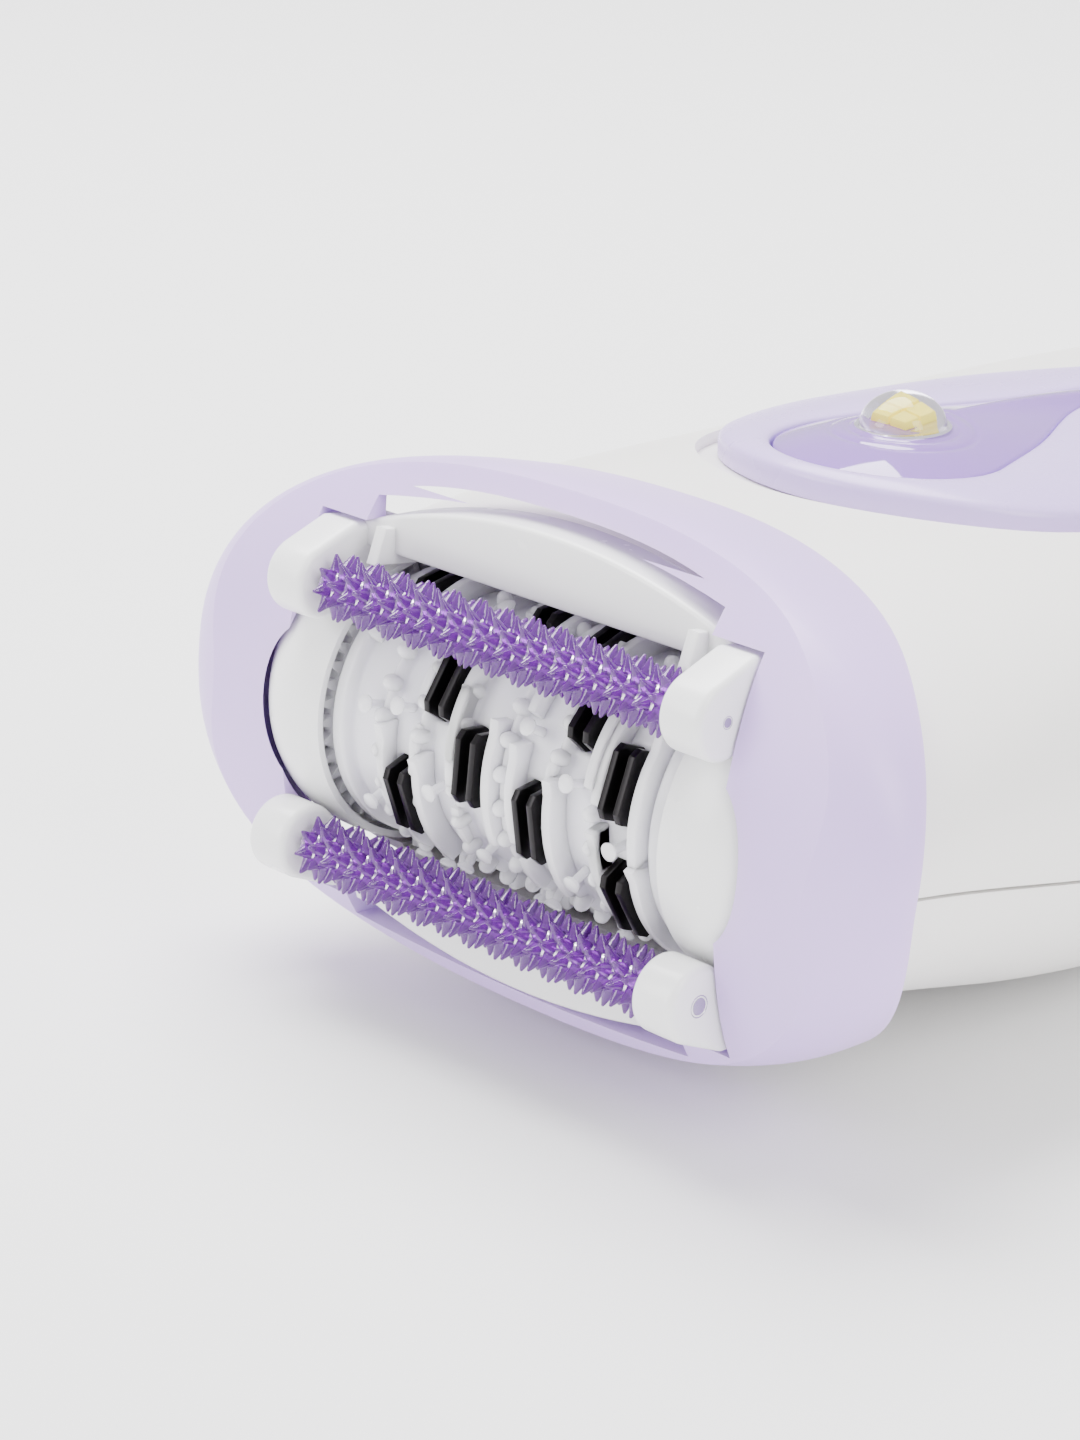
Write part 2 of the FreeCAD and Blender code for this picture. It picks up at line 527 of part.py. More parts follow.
    cells = [y_cylinder(CELL_R, 67.5, 67.5 + CELL_LENGTH, s * 7.6, -10.9) for s in (-1, 1)]
    save("battery_cells", handle_to_row(Part.makeCompound(cells)))
    save("main_board", handle_to_row(box(-13, 13, 66.5, 110.0, -3.4, -2.2)))
    switch = box(-4.0, 4.0, SLIDER_Y - 10, SLIDER_Y + 8, -2.2, 5.6)
    save("slide_switch_body", handle_to_row(switch))


drum()
side_caps()
head_chassis()
massage_cap()
drive()
handle()
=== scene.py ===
import json
import math

import bpy
import numpy as np
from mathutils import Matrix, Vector


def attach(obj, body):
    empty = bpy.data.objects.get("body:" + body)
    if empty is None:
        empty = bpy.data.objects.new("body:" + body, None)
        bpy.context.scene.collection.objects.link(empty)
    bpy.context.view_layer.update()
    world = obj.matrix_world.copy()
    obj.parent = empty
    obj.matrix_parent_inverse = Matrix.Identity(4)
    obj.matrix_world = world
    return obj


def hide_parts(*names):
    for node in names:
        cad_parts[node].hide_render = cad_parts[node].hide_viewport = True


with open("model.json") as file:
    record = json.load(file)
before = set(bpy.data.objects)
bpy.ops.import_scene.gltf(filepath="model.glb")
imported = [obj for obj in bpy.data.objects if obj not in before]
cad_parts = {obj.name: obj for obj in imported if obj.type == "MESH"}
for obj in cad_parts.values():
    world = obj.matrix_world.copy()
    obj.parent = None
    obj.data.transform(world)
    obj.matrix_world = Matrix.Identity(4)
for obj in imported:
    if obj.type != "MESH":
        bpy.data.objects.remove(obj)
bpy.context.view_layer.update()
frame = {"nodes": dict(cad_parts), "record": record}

# ---- sizes, millimetres in the row frame ------------------------------------------------------------
PITCH = math.radians(5.2)                   # the head is tipped nose-up
DRUM = np.array([0.0, -64.836, 20.6])       # the drum's axis
UPPER_AXIS = np.array([-9.9, 9.6])          # roller axes in the head's own y, z
LOWER_AXIS = np.array([-10.4, -9.6])
PAIRS = np.array([(-12.6, 75), (-8.6, -23), (-5.4, 31), (-1.6, 2), (-1.6, 80), (4.3, -12), (4.3, 68), (7.7, 40),
                  (12.2, 17), (12.2, -33)])  # tweezer pairs: x and angle above the face


# ---- geometry helpers -------------------------------------------------------------------------------
def from_head(p):
    """Head frame to row frame: y' = y cos P + z sin P, z' = z cos P - y sin P, then moved to the drum's axis."""
    c, s = math.cos(PITCH), math.sin(PITCH)
    x, y, z = p[..., 0], p[..., 1], p[..., 2]
    return np.stack([x, y * c + z * s, z * c - y * s], -1) + DRUM


def from_handle(p):
    """Handle frame to row frame: the handle isn't pitched."""
    return p + DRUM


def quads(rows, cols, wrap_rows=False, wrap_cols=True):
    """Quads of a grid whose vertex (i, j) has index i * cols + j."""
    i = np.arange(rows if wrap_rows else rows - 1)
    j = np.arange(cols if wrap_cols else cols - 1)
    i, j = np.meshgrid(i, j, indexing="ij")
    i2, j2 = (i + 1) % rows, (j + 1) % cols
    return np.stack([i * cols + j, i * cols + j2, i2 * cols + j2, i2 * cols + j], -1).reshape(-1, 4)


def add_mesh(name, verts, faces, material, body, replaces=(), slot=None, sharp=40):
    """One object from mm vertices and face arrays; its faces are turned so that the signed volume is positive."""
    me = bpy.data.meshes.new(name)
    v = np.asarray(verts, float).reshape(-1, 3) / 1000
    volume = 0.0
    for f in faces:
        if len(f) and len(f[0]) <= 4:
            a = v[f[:, 0]]
            for k in range(1, f.shape[1] - 1):
                volume += np.einsum("ij,ij->", a, np.cross(v[f[:, k]], v[f[:, k + 1]]))
    lists = [row for f in faces for row in (f[:, ::-1] if volume < 0 else f).tolist()]
    me.from_pydata(v.tolist(), [], lists)
    me.polygons.foreach_set("use_smooth", np.ones(len(me.polygons), bool))
    me.set_sharp_from_angle(angle=math.radians(sharp))
    me.materials.append(material)
    obj = bpy.data.objects.new(name, me)
    bpy.context.scene.collection.objects.link(obj)
    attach(obj, body)
    for node in replaces:
        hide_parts(node)
    return obj


def inset(outline, distance):
    """Closed outline (n, 2), anticlockwise, moved inwards along its vertex normals."""
    ahead = np.roll(outline, -1, 0) - outline
    ahead /= np.linalg.norm(ahead, axis=1, keepdims=True)
    tangent = ahead + np.roll(ahead, 1, 0)
    tangent /= np.maximum(np.linalg.norm(tangent, axis=1, keepdims=True), 1e-9)
    return outline + distance * np.stack([-tangent[:, 1], tangent[:, 0]], -1)


def refine(outline, step):
    """Adds points along the straight runs of a closed outline, at most step apart."""
    ends = np.roll(outline, -1, 0)
    counts = np.maximum(1, (np.linalg.norm(ends - outline, axis=1) / step).astype(int))
    return np.concatenate([np.linspace(a, b, n, endpoint=False) for a, b, n in zip(outline, ends, counts)])


def slab(outline, low, high, fillet, steps=4):
    """Prism with rounded edges, w along it: at angle a in a quarter turn the outline is inset by
    fillet (1 - sin a) and lies fillet (1 - cos a) from the end face. Returns (rows, n, 3) points and faces."""
    area = np.sum(outline[:, 0] * np.roll(outline[:, 1], -1) - outline[:, 1] * np.roll(outline[:, 0], -1))
    outline = outline[::-1] if area < 0 else outline
    a = np.linspace(0, math.pi / 2, steps)
    depth = np.concatenate([fillet * (1 - np.sin(a)), fillet * (1 - np.sin(a[::-1]))])
    w = np.sort(np.concatenate([low + fillet * (1 - np.cos(a)), high - fillet * (1 - np.cos(a[::-1]))]))
    rings = np.stack([inset(outline, d) for d in depth])
    points = np.concatenate([rings, np.broadcast_to(w[:, None, None], rings.shape[:2] + (1,))], -1)
    n = len(outline)
    ends = [np.arange(n)[None, ::-1], (len(w) - 1) * n + np.arange(n)[None, :]]
    return points, [quads(len(w), n)] + ends


def many(parts):
    """Joins (points, faces) pairs into one vertex array and one face list."""
    verts, faces, base = [], [], 0
    for points, group in parts:
        flat = points.reshape(-1, 3)
        verts.append(flat)
        faces += [f + base for f in group]
        base += len(flat)
    return np.concatenate(verts), faces


def arc(centre, radius, start, stop, count):
    """Points on a circle between two angles in degrees."""
    a = np.radians(np.linspace(start, stop, count))
    return np.asarray(centre) + radius * np.stack([np.cos(a), np.sin(a)], -1)


def on_drum(radius, angle, x):
    """Point of the drum: angle in degrees from straight out of the face (-Y) towards +Z."""
    a = np.radians(angle)
    return np.stack(np.broadcast_arrays(x, -radius * np.cos(a), radius * np.sin(a)), -1)


def studs(profile, x, angle, sides=14):
    """Small turned studs standing on the drum: profile rows are (stud radius, drum radius)."""
    x, angle = np.atleast_1d(x).astype(float), np.radians(np.atleast_1d(angle).astype(float))
    out = np.stack([0 * x, -np.cos(angle), np.sin(angle)], -1)[:, None, None, :]
    side = np.stack([0 * x, np.sin(angle), np.cos(angle)], -1)[:, None, None, :]
    phi = np.linspace(0, 2 * math.pi, sides, endpoint=False)[None, None, :, None]
    r, h = profile[None, :, None, None, 0], profile[None, :, None, None, 1]
    along = np.array([1.0, 0, 0])
    points = h * out + r * (np.cos(phi) * side + np.sin(phi) * along) + x[:, None, None, None] * along
    rows = len(profile)
    block = rows * sides
    offsets = (np.arange(len(x)) * block)[:, None, None]
    body = (quads(rows, sides)[None] + offsets).reshape(-1, 4)
    caps = [(np.arange(sides)[None, None, ::-1] + offsets).reshape(-1, sides),
            ((rows - 1) * sides + np.arange(sides)[None, None, :] + offsets).reshape(-1, sides)]
    return points, [body] + caps


# ---- materials --------------------------------------------------------------------------------------
def rgb(code):
    """Linear colour of an sRGB hex code."""
    s = np.array([int(code[i:i + 2], 16) for i in (0, 2, 4)]) / 255
    return (*np.where(s <= 0.04045, s / 12.92, ((s + 0.055) / 1.055) ** 2.4).tolist(), 1.0)


def node(tree, kind, inputs=None, **settings):
    """Adds one node; inputs maps socket names or numbers to constants or to output sockets."""
    n = tree.nodes.new(kind)
    for key, value in settings.items():
        setattr(n, key, value)
    for key, value in (inputs or {}).items():
        if isinstance(value, bpy.types.NodeSocket):
            tree.links.new(value, n.inputs[key])
        else:
            n.inputs[key].default_value = value
    return n


DRIFT_MM = 14.3     # how far apart the two tones of a moulded part lie
SMEAR_MM = 3.85     # size of the uneven patches in its gloss


def plastic(name, light, dark, roughness, grain_mm, grain_depth, **extra):
    """Procedural material: colour drifts between two tones, the gloss is uneven and a fine grain stands out."""
    m = bpy.data.materials.new(name)
    m.use_nodes = True
    t = m.node_tree
    t.nodes.clear()
    where = node(t, "ShaderNodeTexCoord").outputs["Object"]
    drift = node(t, "ShaderNodeTexNoise", {"Vector": where, "Scale": 1000.0 / DRIFT_MM, "Detail": 3.0})
    tone = node(t, "ShaderNodeMix", {0: drift.outputs["Fac"], 6: rgb(light), 7: rgb(dark)}, data_type="RGBA")
    smear = node(t, "ShaderNodeTexNoise", {"Vector": where, "Scale": 1000.0 / SMEAR_MM, "Detail": 4.0})
    gloss = node(t, "ShaderNodeMapRange", {"Value": smear.outputs["Fac"], "To Min": roughness * 0.85,
                                           "To Max": roughness * 1.15})
    grain = node(t, "ShaderNodeTexNoise", {"Vector": where, "Scale": 1000.0 / grain_mm, "Detail": 2.0})
    bump = node(t, "ShaderNodeBump", {"Height": grain.outputs["Fac"], "Distance": grain_depth / 1000,
                                      "Strength": 0.5})
    shader = node(t, "ShaderNodeBsdfPrincipled", {"Base Color": tone.outputs[2], "Normal": bump.outputs["Normal"],
                                                  "Roughness": gloss.outputs["Result"], **extra})
    node(t, "ShaderNodeOutputMaterial", {"Surface": shader.outputs["BSDF"]})
    return m


SKIN = {"Subsurface Radius": (1.0, 0.9, 1.0), "Subsurface Scale": 0.0012}
# satin ABS of the handle, with a faint moulded grain
BODY_ABS = plastic("white_satin_abs", "F6F4F1", "F1EFEC", 0.34, 0.35, 0.010, **{"Subsurface Weight": 0.12, **SKIN})
# glossier white of the roller holders and of the head's end covers
WHITE_GLOSS = plastic("white_gloss_abs", "F7F7F6", "F1F2F2", 0.26, 0.5, 0.004, **{"Subsurface Weight": 0.2, **SKIN})
# lavender ABS of the massage cap
LAVENDER = plastic("lavender_satin_abs", "D6B9F5", "CDAEF1", 0.36, 0.3, 0.010, **{"Subsurface Weight": 0.15, **SKIN})
# lavender trim of the work light, a little deeper
TRIM = plastic("lavender_trim", "CDB6EE", "C4ABEA", 0.28, 0.4, 0.006, **{"Subsurface Weight": 0.15, **SKIN})
# clear violet plastic of the massage rollers
VIOLET = plastic("violet_clear_acrylic", "7A22A6", "8A34B6", 0.06, 2.0, 0.002,
                 **{"Transmission Weight": 0.62, "IOR": 1.5, "Coat Weight": 0.4, "Coat Roughness": 0.04})
# milky translucent polymer of the drum
MILKY = plastic("milky_acetal", "F1F0F5", "E6E5EE", 0.24, 0.6, 0.006,
                **{"Subsurface Weight": 0.75, "Subsurface Radius": (1.0, 0.95, 1.05), "Subsurface Scale": 0.0016})
# blackened spring steel of the tweezer plates
GUNMETAL = plastic("blackened_spring_steel", "1B1A1C", "2A2829", 0.30, 0.08, 0.004, Metallic=0.85)
# ground steel of the axles
STEEL = plastic("ground_steel", "C9CACC", "B4B6B9", 0.22, 0.06, 0.002, Metallic=1.0)
# violet-tinted clear lens of the work light
LENS = plastic("violet_lens_acrylic", "A97BE0", "B387E6", 0.05, 3.0, 0.004,
               **{"Transmission Weight": 0.35, "Coat Weight": 0.6, "Subsurface Weight": 0.3, **SKIN})
# clear dome over the chips
CLEAR = plastic("clear_dome_acrylic", "FFFFFF", "F6F3FA", 0.02, 4.0, 0.002, **{"Transmission Weight": 1.0, "IOR": 1.46})
# yellow phosphor of the light chips; the faint emission is a painted glow that brightens them
PHOSPHOR_PAINTED_GLOW = plastic("chip_phosphor_painted_glow", "F6E23A", "F8EE7A", 0.35, 0.1, 0.01, **{"Emission Color": rgb("F4E85A"),
                                                                             "Emission Strength": 0.6})
# bright reflector cup under the dome
REFLECTOR = plastic("bright_reflector", "E9E6EF", "D8D3E4", 0.12, 0.5, 0.004, Metallic=0.9)
# deep violet of the head's inner frame: painted shade standing in for the shadow inside the head behind the drum,
# darker than the frame's own lavender plastic
CHASSIS_PAINTED_SHADE = plastic("inner_frame_painted_shade_violet", "5C4482", "523C76", 0.42, 0.4, 0.008, **{"Subsurface Weight": 0.2, **SKIN})
DARK = plastic("black_polymer", "161618", "202023", 0.45, 0.3, 0.01)
BOARD = plastic("green_board", "1F5A3C", "2A6B49", 0.4, 0.2, 0.01)
BRASS = plastic("brass_tab", "C9A35C", "B8924C", 0.3, 0.1, 0.004, Metallic=1.0)
CELL = plastic("blue_shrink_wrap", "3E6BA3", "345E93", 0.3, 0.4, 0.01)

# chassis_violet gets the painted shade of the inner frame; led_phosphor gets the chips' painted glow
SLOTS = {"white_plastic": WHITE_GLOSS, "body_white": BODY_ABS, "cap_lavender": LAVENDER, "bezel_lavender": TRIM,
         "roller_violet": VIOLET, "drum_milky": MILKY, "tweezer_steel": GUNMETAL, "shaft_steel": STEEL,
         "gear_acetal": MILKY, "motor_zinc": STEEL, "copper_tab": BRASS, "lens_clear": LENS, "led_phosphor": PHOSPHOR_PAINTED_GLOW,
         "board_green": BOARD, "cell_wrap": CELL, "socket_black": DARK, "screw_steel": STEEL, "chassis_violet": CHASSIS_PAINTED_SHADE}
for part in frame["record"]["subparts"]:
    mesh = frame["nodes"][part["node"]].data
    mesh.materials.clear()
    mesh.materials.append(SLOTS[part["material_slot"]])


# ---- massage rollers --------------------------------------------------------------------------------
ROLLER_HALF = 17.0
SPIKES_LONG = 26
SPIKES_ROUND = 9


def spiked_roller(name, axis, body, replaced):
    """Tube of radius 1.3 with cones on every second point of a grid, x = (i + 1/2) pitch and angle = j step: the
    cone's radius falls from 0.66 to a rounded tip 1.16 above the tube."""
    x = np.concatenate([[-1, -0.98, -0.96, -0.94], np.linspace(-0.93, 0.93, 40), [0.94, 0.96, 0.98, 1]])
    a = np.linspace(0, 2 * math.pi, 56, endpoint=False)
    gx, ga = np.meshgrid(x * ROLLER_HALF, a, indexing="ij")
    radius = 1.30 - 0.12 * np.clip(np.abs(gx) / ROLLER_HALF * 25 - 24, 0, 1)
    tube = np.stack([gx, radius * np.cos(ga), radius * np.sin(ga)], -1)
    bore = np.stack([gx[[0, -1]], 0.68 * np.cos(ga[[0, -1]]), 0.68 * np.sin(ga[[0, -1]])], -1)
    points = np.concatenate([bore[:1], tube, bore[1:]])
    pitch = 2 * ROLLER_HALF / SPIKES_LONG
    i, j = np.meshgrid(np.arange(SPIKES_LONG), np.arange(SPIKES_ROUND * 2), indexing="ij")
    staggered = (i + j) % 2 == 0
    place = ((i[staggered] + 0.5) * pitch - ROLLER_HALF) * 0.985
    turn = j[staggered] * 180.0 / SPIKES_ROUND
    cone = np.array([(0.66, 1.15), (0.50, 1.46), (0.31, 1.90), (0.16, 2.28), (0.09, 2.43), (0.02, 2.46)])
    cones, faces = studs(cone, place, turn, 12)
    verts, faces = many([(points, [quads(len(points), len(a), wrap_rows=True)]), (cones, faces)])
    verts = from_head(verts + np.array([0, *axis]))
    add_mesh(name, verts, faces, VIOLET, body, [replaced], "roller_violet", sharp=50)


spiked_roller("upper_spiked_roller", UPPER_AXIS, "upper_roller", "upper_massage_roller")
spiked_roller("lower_spiked_roller", LOWER_AXIS, "lower_roller", "lower_massage_roller")


# ---- roller bridges ---------------------------------------------------------------------------------
def holder_outline(axis, sign):
    """Side view of a holder: a round eye on the roller's axis that runs back into the cap."""
    eye = arc(axis, 2.75, 112, 318, 40) if sign > 0 else arc(axis, 2.75, 248, 42, 40)
    back = [(axis[0] + 4.6, sign * 10.7), (-3.2, sign * 11.2), (-3.0, sign * 13.3), (-7.6, sign * 13.55)]
    return refine(np.concatenate([eye, np.array(back)]), 0.5)


def roller_bridge(name, axis, sign, replaced):
    """Crescent bar z = z0 + rise (1 - (x / w)^2) over a straight underside, two ribs and two rounded holders."""
    parts = []
    for x0 in (-20.95, 17.25):
        points, faces = slab(holder_outline(axis, sign), x0, x0 + 3.7, 0.55, 6)
        parts.append((points[..., [2, 0, 1]], faces))
    x = np.linspace(-20.6, 20.6, 80)
    top = 13.3 + (3.4 if sign > 0 else 2.8) * np.clip(1 - (x / 18.5) ** 2, 0, 1)
    crescent = np.concatenate([np.stack([x, sign * top], -1), np.stack([x[::-1], 0 * x + sign * 11.75], -1)])
    points, faces = slab(crescent, -6.4, -2.2, 0.35, 4)
    parts.append((points[..., [0, 2, 1]], faces))
    for x0 in (-15.5, 14.5):
        tab = np.array([(-8.1, sign * 11.2), (-4.2, sign * 10.9), (-4.2, sign * 13.6), (-7.3, sign * 13.8)])
        points, faces = slab(refine(tab, 0.6), x0, x0 + 1.1, 0.2, 3)
        parts.append((points[..., [2, 0, 1]], faces))
    verts, faces = many(parts)
    add_mesh(name, from_head(verts), faces, WHITE_GLOSS, "massage_cap", [replaced], "white_plastic", sharp=35)


roller_bridge("upper_bridge_moulding", UPPER_AXIS, 1, "upper_roller_bridge")
roller_bridge("lower_bridge_moulding", LOWER_AXIS, -1, "lower_roller_bridge")


def pin_ends(name, axis, width):
    """Turned ends of the axle in the holders' outer faces: a seat of the given radius with the steel end in it."""
    parts = []
    phi = np.linspace(0, 2 * math.pi, 28, endpoint=False)
    profile = np.array([(1.0, 20.80), (1.0, 20.955), (0.92, 20.965), (0.80, 20.90), (0.74, 20.97), (0.05, 21.02)])
    r, x = profile[:, None, 0] * width, profile[:, None, 1]
    y, z = axis[0] + r * np.cos(phi), axis[1] + r * np.sin(phi)
    for side in (-1, 1):
        points = np.stack(np.broadcast_arrays(side * x, y, z), -1)
        n = len(phi)
        ends = [np.arange(n)[None, ::-1], (len(profile) - 1) * n + np.arange(n)[None, :]]
        parts.append((points, [quads(len(profile), n)] + ends))
    verts, faces = many(parts)
    add_mesh(name, from_head(verts), faces, STEEL, "massage_cap", (), "shaft_steel")


pin_ends("upper_pin_ends", UPPER_AXIS, 0.45)
pin_ends("lower_pin_ends", LOWER_AXIS, 0.80)


# ---- tweezer drum -----------------------------------------------------------------------------------
ALL_PAIRS = np.concatenate([PAIRS, PAIRS + np.array([0, 180])])
EDGE_RINGS = np.array([-15.2, -10.9, -7.1, -3.4, 1.2, 6.0, 9.8, 15.2])   # low ridges between the rows


def drum_barrel():
    """Radius over x and angle: 9.3, plus 0.7 on the ridges, minus a pocket 2.2 wide and 30 degrees long at each
    tweezer pair. All edges are smooth steps about 0.25 mm wide."""
    x = np.linspace(-16.0, 16.0, 200)
    a = np.linspace(-180, 180, 440, endpoint=False)
    gx, ga = np.meshgrid(x, a, indexing="ij")
    ridge = np.exp(-((gx[..., None] - EDGE_RINGS) / 0.42) ** 4).max(-1)
    dx = np.abs(gx[..., None] - ALL_PAIRS[:, 0])
    da = np.abs((ga[..., None] - ALL_PAIRS[:, 1] + 180) % 360 - 180)
    pocket = (1 / (1 + np.exp((dx - 1.25) / 0.06)) / (1 + np.exp((da - 16.0) / 0.5))).max(-1)
    radius = 9.25 + 0.75 * ridge - 0.95 * pocket
    radius = np.where(np.abs(gx) > 15.2, np.maximum(radius, 9.95), radius)
    ring = on_drum(radius, ga, gx)
    bore = on_drum(1.6 + 0 * ga[[0, -1]], ga[[0, -1]], gx[[0, -1]])
    points = np.concatenate([bore[:1], ring, bore[1:]])
    faces = [quads(len(points), len(a), wrap_rows=True)]
    add_mesh("drum_barrel", from_head(points), faces, MILKY, "drum", ["drum_core"], "drum_milky", sharp=60)


def fin(x, start, stop, tip, height=10.85, foot=8.9, thick=0.85):
    """Curved fin on the drum: an arc band between two angles, ending in a point at its upper end when tip is 1."""
    outer = np.linspace(start, stop - 7 * tip, 26)
    rise = height - 0.5 * ((outer - start) / (stop - start) - 0.5) ** 2
    rise[0] -= 0.7
    edge = np.stack([outer, rise], -1)
    point = [[stop - 1.0, height + 0.3], [stop + 1.5, height - 1.0]]
    peak = np.array(point if tip else [[stop, height - 0.6]])
    low = np.stack([np.linspace(stop + 1.5, start, 14), np.full(14, foot)], -1)
    ring = np.concatenate([edge, peak, low])
    a = np.radians(ring[:, 0])
    outline = np.stack([-ring[:, 1] * np.cos(a), ring[:, 1] * np.sin(a)], -1)
    points, faces = slab(outline, x - thick / 2, x + thick / 2, 0.18, 3)
    return points[..., [2, 0, 1]], faces


def drum_fins():
    """Three fins guard each tweezer pair: a long pointed one on its +X side, two short ones on its -X side."""
    parts = []
    for x, angle in ALL_PAIRS.tolist():
        parts.append(fin(x + 1.95, angle - 30, angle + 22, 1))
        parts.append(fin(x - 1.9, angle - 12, angle + 30, 1, 10.6))
        parts.append(fin(x - 1.9, angle - 38, angle - 20, 0, 10.4))
    verts, faces = many(parts)
    add_mesh("drum_fins", from_head(verts), faces, MILKY, "drum", (), "drum_milky", sharp=35)


def drum_studs():
    """Rows of round bumps on the ridges and taller T-shaped posts between the tweezer rows."""
    bumps = np.concatenate([np.stack([np.full(26, x), np.linspace(-180, 180, 26, endpoint=False) + 3 * x], -1)
                            for x in EDGE_RINGS[1:-1]])
    dome = np.array([(0.62, 9.5), (0.60, 10.1), (0.50, 10.45), (0.30, 10.66), (0.08, 10.72)])
    posts = np.concatenate([np.stack([np.full(9, x), np.linspace(-180, 180, 9, endpoint=False) + 14 * x], -1)
                            for x in (-12.0, -8.9, -5.2, -1.0, 3.2, 7.9, 12.3)])
    gap = np.abs((posts[:, None, 1] - ALL_PAIRS[:, 1] + 180) % 360 - 180)
    near = (gap < 24) & (np.abs(posts[:, None, 0] - ALL_PAIRS[:, 0]) < 2.6)
    posts = posts[~near.any(1)]
    tee = np.array([(0.34, 9.0), (0.32, 10.5), (0.62, 10.75), (0.66, 10.95), (0.50, 11.08), (0.10, 11.12)])
    verts, faces = many([studs(dome, bumps[:, 0], bumps[:, 1]), studs(tee, posts[:, 0], posts[:, 1])])
    add_mesh("drum_studs", from_head(verts), faces, MILKY, "drum", (), "drum_milky", sharp=45)


def tweezer_plates(name, side, body, replaced):
    """Stamped plate 5.2 long and 0.55 thick with clipped outer corners; one per pair on the given side."""
    half = 2.6
    ring = np.array([(-8.25, -half), (-10.5, -half), (-11.0, -half + 0.6), (-11.0, half - 0.6), (-10.5, half),
                     (-8.25, half)])
    parts = []
    for x, angle in ALL_PAIRS.tolist():
        a = math.radians(angle)
        low = x + side * 0.45 + min(0, side) * 0.55
        points, faces = slab(refine(ring, 0.5), low, low + 0.55, 0.07, 3)
        y = points[..., 0] * math.cos(a) + points[..., 1] * math.sin(a)
        z = points[..., 1] * math.cos(a) - points[..., 0] * math.sin(a)
        parts.append((np.stack([points[..., 2], y, z], -1), faces))
    verts, faces = many(parts)
    add_mesh(name, from_head(verts), faces, GUNMETAL, body, [replaced], "tweezer_steel", sharp=30)


drum_barrel()
drum_fins()
drum_studs()
tweezer_plates("fixed_tweezer_plates", -1, "drum", "tweezer_plates_fixed")
tweezer_plates("moving_tweezer_plates", 1, "moving_tweezers", "tweezer_plates_moving")


# ---- work light -------------------------------------------------------------------------------------
HANDLE = np.array([(-8.0, 31.0, 12.6, -13.2, 2.6), (4.0, 31.7, 13.9, -14.8, 2.6), (16.0, 32.0, 15.0, -18.2, 2.6),
                   (32.0, 32.0, 14.6, -21.0, 2.6), (50.0, 31.6, 14.0, -21.4, 2.6), (75.0, 30.4, 12.8, -21.6, 2.6),
                   (100.0, 28.4, 10.4, -21.2, 2.5)])   # y, half width, top, bottom, squareness
LIGHT_Y = 32.0


def smooth(x, xs, ys):
    """Cubic Hermite curve through (xs, ys) with slopes from finite differences."""
    slope = np.gradient(ys, xs)
    i = np.clip(np.searchsorted(xs, x) - 1, 0, len(xs) - 2)
    h = xs[i + 1] - xs[i]
    t = (x - xs[i]) / h
    return ((2 * t ** 3 - 3 * t ** 2 + 1) * ys[i] + (t ** 3 - 2 * t ** 2 + t) * h * slope[i]
            + (3 * t ** 2 - 2 * t ** 3) * ys[i + 1] + (t ** 3 - t ** 2) * h * slope[i + 1])


def handle_top(x, y):
    """Height of the handle's upper skin: z = middle + b (1 - (|x| / a)^n)^(1 / n)."""
    a, top, bottom, n = (smooth(y, HANDLE[:, 0], HANDLE[:, k]) for k in (1, 2, 3, 4))
    return (top + bottom) / 2 + (top - bottom) / 2 * np.clip(1 - (np.abs(x) / a) ** n, 0, 1) ** (1 / n)


def teardrop(radius, centre, tail):
    """Closed outline: a round front and a tail that narrows in an S-curve. 200 points, anticlockwise."""
    start = math.radians(100)
    y0 = centre - radius * math.cos(start)
    y = np.linspace(tail, y0, 60, endpoint=False)
    knots = y0 + (tail - y0) * np.array([0, 0.28, 0.62, 1.0])
    x = smooth(y, knots, np.array([radius * math.sin(start), radius * 0.74, radius * 0.30, 0.6]))
    a = np.linspace(start, -start, 80)
    nose = np.stack([radius * np.sin(a), centre - radius * np.cos(a)], -1)
    flank = np.stack([x, y], -1)
    return np.concatenate([flank, nose, (flank * np.array([-1, 1]))[::-1]])[::-1]


def on_handle(xy, lift):
    """Points lift above the handle's upper skin, in the row frame."""
    return from_handle(np.concatenate([xy, (handle_top(xy[..., 0], xy[..., 1]) + lift)[..., None]], -1))


def light_trim():
    """Ring between the lens outline and the trim outline: height follows a soft crown with rolled edges."""
    inner, outer = teardrop(8.95, 30.8, 58.2), teardrop(17.5, 37.8, 82.0)
    q = np.array([0, 0.0, 0.012, 0.05, 0.14, 0.3, 0.5, 0.7, 0.84, 0.93, 0.975, 0.995, 1.0, 1.0])
    h = np.array([-0.8, 0.95, 1.16, 1.3, 1.42, 1.44, 1.36, 1.2, 1.04, 0.86, 0.66, 0.4, 0.1, -0.8])
    xy = inner + (outer - inner) * q[:, None, None]
    add_mesh("light_trim", on_handle(xy, h[:, None]), [quads(len(q), len(inner), wrap_rows=True)], TRIM, "handle",
             ["light_bezel"], "bezel_lavender", sharp=75)


def light_window():
    """Domed window: lift = 1.0 + 1.6 (1 - r^2) over the fraction r from the light to the edge, with two faint
    rings."""
    edge = teardrop(8.75, 30.8, 57.9)
    centre = np.array([0.0, LIGHT_Y])
    r = np.concatenate([np.linspace(0.02, 0.965, 60), [0.985, 0.996, 1.0, 1.0]])
    xy = centre + (edge - centre) * r[:, None, None]
    away = np.hypot(xy[..., 0], xy[..., 1] - LIGHT_Y)
    lift = 1.0 + 1.6 * (1 - r[:, None] ** 2) - 0.10 * np.exp(-((away - 5.4) / 0.22) ** 2)
    lift -= 0.10 * np.exp(-((away - 4.1) / 0.2) ** 2)
    lift[-3:] = np.array([0.85, 0.6, -0.7])[:, None]
    n = len(edge)
    ends = [np.arange(n)[None, ::-1], (len(r) - 1) * n + np.arange(n)[None, :]]
    add_mesh("light_window", on_handle(xy, lift), [quads(len(r), n)] + ends, LENS, "handle", ["light_lens"],
             "lens_clear", sharp=60)


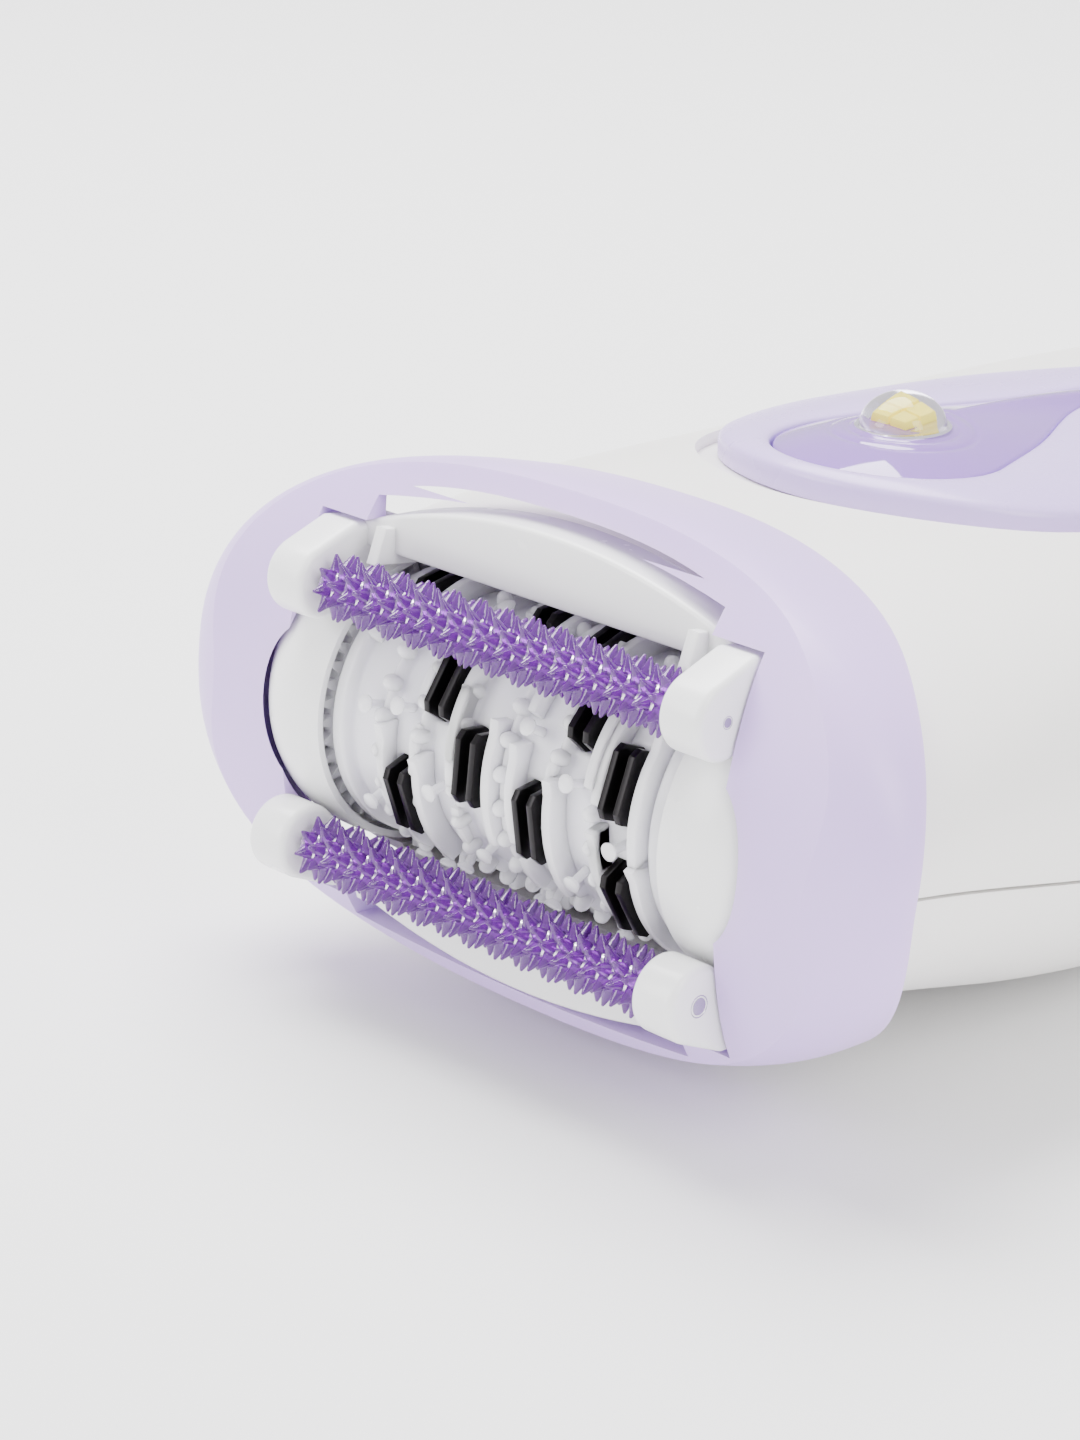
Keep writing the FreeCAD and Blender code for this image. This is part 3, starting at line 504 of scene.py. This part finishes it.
def light_source():
    """Clear dome of revolution over a bright cup with four square chips."""
    base = handle_top(np.array(0.0), np.array(LIGHT_Y)) + 2.45
    phi = np.linspace(0, 2 * math.pi, 56, endpoint=False)

    def turned(profile):
        r, z = profile[:, None, 0], profile[:, None, 1]
        points = np.stack(np.broadcast_arrays(r * np.cos(phi), LIGHT_Y + r * np.sin(phi), base + z), -1)
        n = len(phi)
        return from_handle(points), [quads(len(profile), n), np.arange(n)[None, ::-1],
                                     (len(profile) - 1) * n + np.arange(n)[None, :]]

    a = np.linspace(0, math.pi / 2 - 0.02, 24)
    dome = np.stack([3.25 * np.cos(a), 0.02 + 2.5 * np.sin(a)], -1)
    add_mesh("light_dome", *turned(dome), CLEAR, "handle", (), "lens_clear", sharp=60)
    cup = np.array([(3.3, -0.5), (3.55, -0.3), (3.6, 0.0), (3.45, 0.14), (3.3, 0.1), (2.3, 0.06), (1.9, 0.12),
                    (0.1, 0.12)])
    add_mesh("light_cup", *turned(cup), REFLECTOR, "handle", (), "lens_clear", sharp=50)
    parts = []
    for dx in (-0.68, 0.68):
        for dy in (-0.68, 0.68):
            square = np.array([(-0.6, -0.6), (0.6, -0.6), (0.6, 0.6), (-0.6, 0.6)]) + (dx, LIGHT_Y + dy)
            points, faces = slab(refine(square, 0.3), base + 0.1, base + 0.62, 0.08, 3)
            parts.append((from_handle(points), faces))
    # the chips carry the painted glow of the phosphor material
    add_mesh("light_chips", *many(parts), PHOSPHOR_PAINTED_GLOW, "handle", ["work_light_led"], "led_phosphor", sharp=40)


light_trim()
light_window()
light_source()


# ---- stage ------------------------------------------------------------------------------------------
def stage():
    """Flat pale floor, 3.2 m square."""
    s = 1.6
    x, y = np.meshgrid(np.linspace(-s, s, 9), np.linspace(-s, s, 9), indexing="ij")
    me = bpy.data.meshes.new("floor")
    me.from_pydata(np.stack([x, y, 0 * x], -1).reshape(-1, 3).tolist(), [], quads(9, 9, wrap_cols=False).tolist())
    me.materials.append(plastic("pale_paper_floor", "F2F2F2", "F0F0F0", 0.9, 0.5, 0.004))
    floor = bpy.data.objects.new("floor", me)
    bpy.context.scene.collection.objects.link(floor)


def area_light(name, place, target, size, power):
    light = bpy.data.lights.new(name, "AREA")
    light.shape = "RECTANGLE"
    light.size, light.size_y = size
    light.energy = power
    obj = bpy.data.objects.new(name, light)
    obj.location = place
    obj.rotation_euler = (Vector(target) - Vector(place)).to_track_quat("-Z", "Y").to_euler()
    bpy.context.scene.collection.objects.link(obj)


stage()
area_light("key", (-0.25, 0.05, 0.62), (0, -0.05, 0.02), (0.55, 0.45), 12.5)
area_light("side", (0.55, -0.10, 0.34), (0, -0.05, 0.02), (0.25, 0.40), 2.8)
area_light("front", (-0.30, -0.60, 0.30), (0, -0.06, 0.02), (0.30, 0.30), 2.2)
world = bpy.data.worlds.new("studio")
bpy.context.scene.world = world
world.use_nodes = True
world.node_tree.nodes["Background"].inputs[0].default_value = rgb("FBFAFC")
world.node_tree.nodes["Background"].inputs[1].default_value = 1.25

AZIMUTH, ELEVATION = math.radians(45.68), math.radians(21.0)
flat = math.cos(ELEVATION)
forward = Vector((-math.sin(AZIMUTH) * flat, math.cos(AZIMUTH) * flat, -math.sin(ELEVATION)))
lens = bpy.data.cameras.new("camera")
lens.lens = 96.9
lens.clip_start = 0.01
camera = bpy.data.objects.new("camera", lens)
camera.location = Vector(DRUM / 1000) + Vector((0.17655, -0.17757, 0.0986))
camera.rotation_euler = forward.to_track_quat("-Z", "Y").to_euler()
bpy.context.scene.collection.objects.link(camera)
bpy.context.scene.camera = camera
